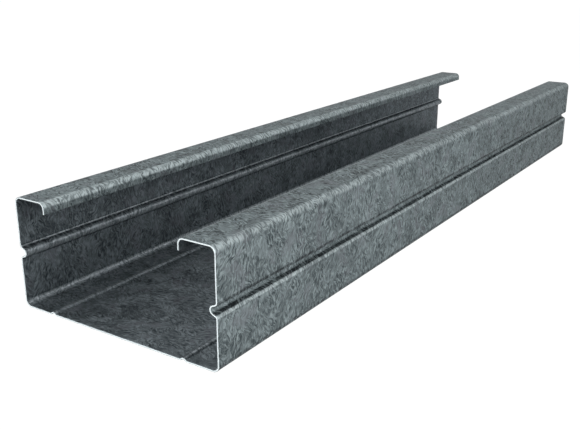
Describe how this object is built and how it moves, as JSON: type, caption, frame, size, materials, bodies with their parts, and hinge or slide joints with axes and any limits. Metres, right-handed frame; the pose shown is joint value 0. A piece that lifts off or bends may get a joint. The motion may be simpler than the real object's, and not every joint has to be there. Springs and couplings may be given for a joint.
{
  "type": "drywall metal stud",
  "caption": "Roll-formed galvanised steel stud with a lipped channel section, ribbed walls and a beaded web, for framing plasterboard partitions.",
  "frame": {"origin": "middle of the web's outer face, half way along the length; the web lies on the floor", "axes": "+Y along the length, +X across the web from board face to board face, +Z from the web up through the open mouth"},
  "size_m": [0.0888, 0.357, 0.0414],
  "materials": {
    "galvanised_sheet": "hot-dip galvanised sheet, dark zinc grey with a fine feathery spangle and satin sheen; bright bare steel on the cut ends"
  },
  "bodies": {
    "root": {"stud": "galvanised_sheet"}
  },
  "joints": []
}
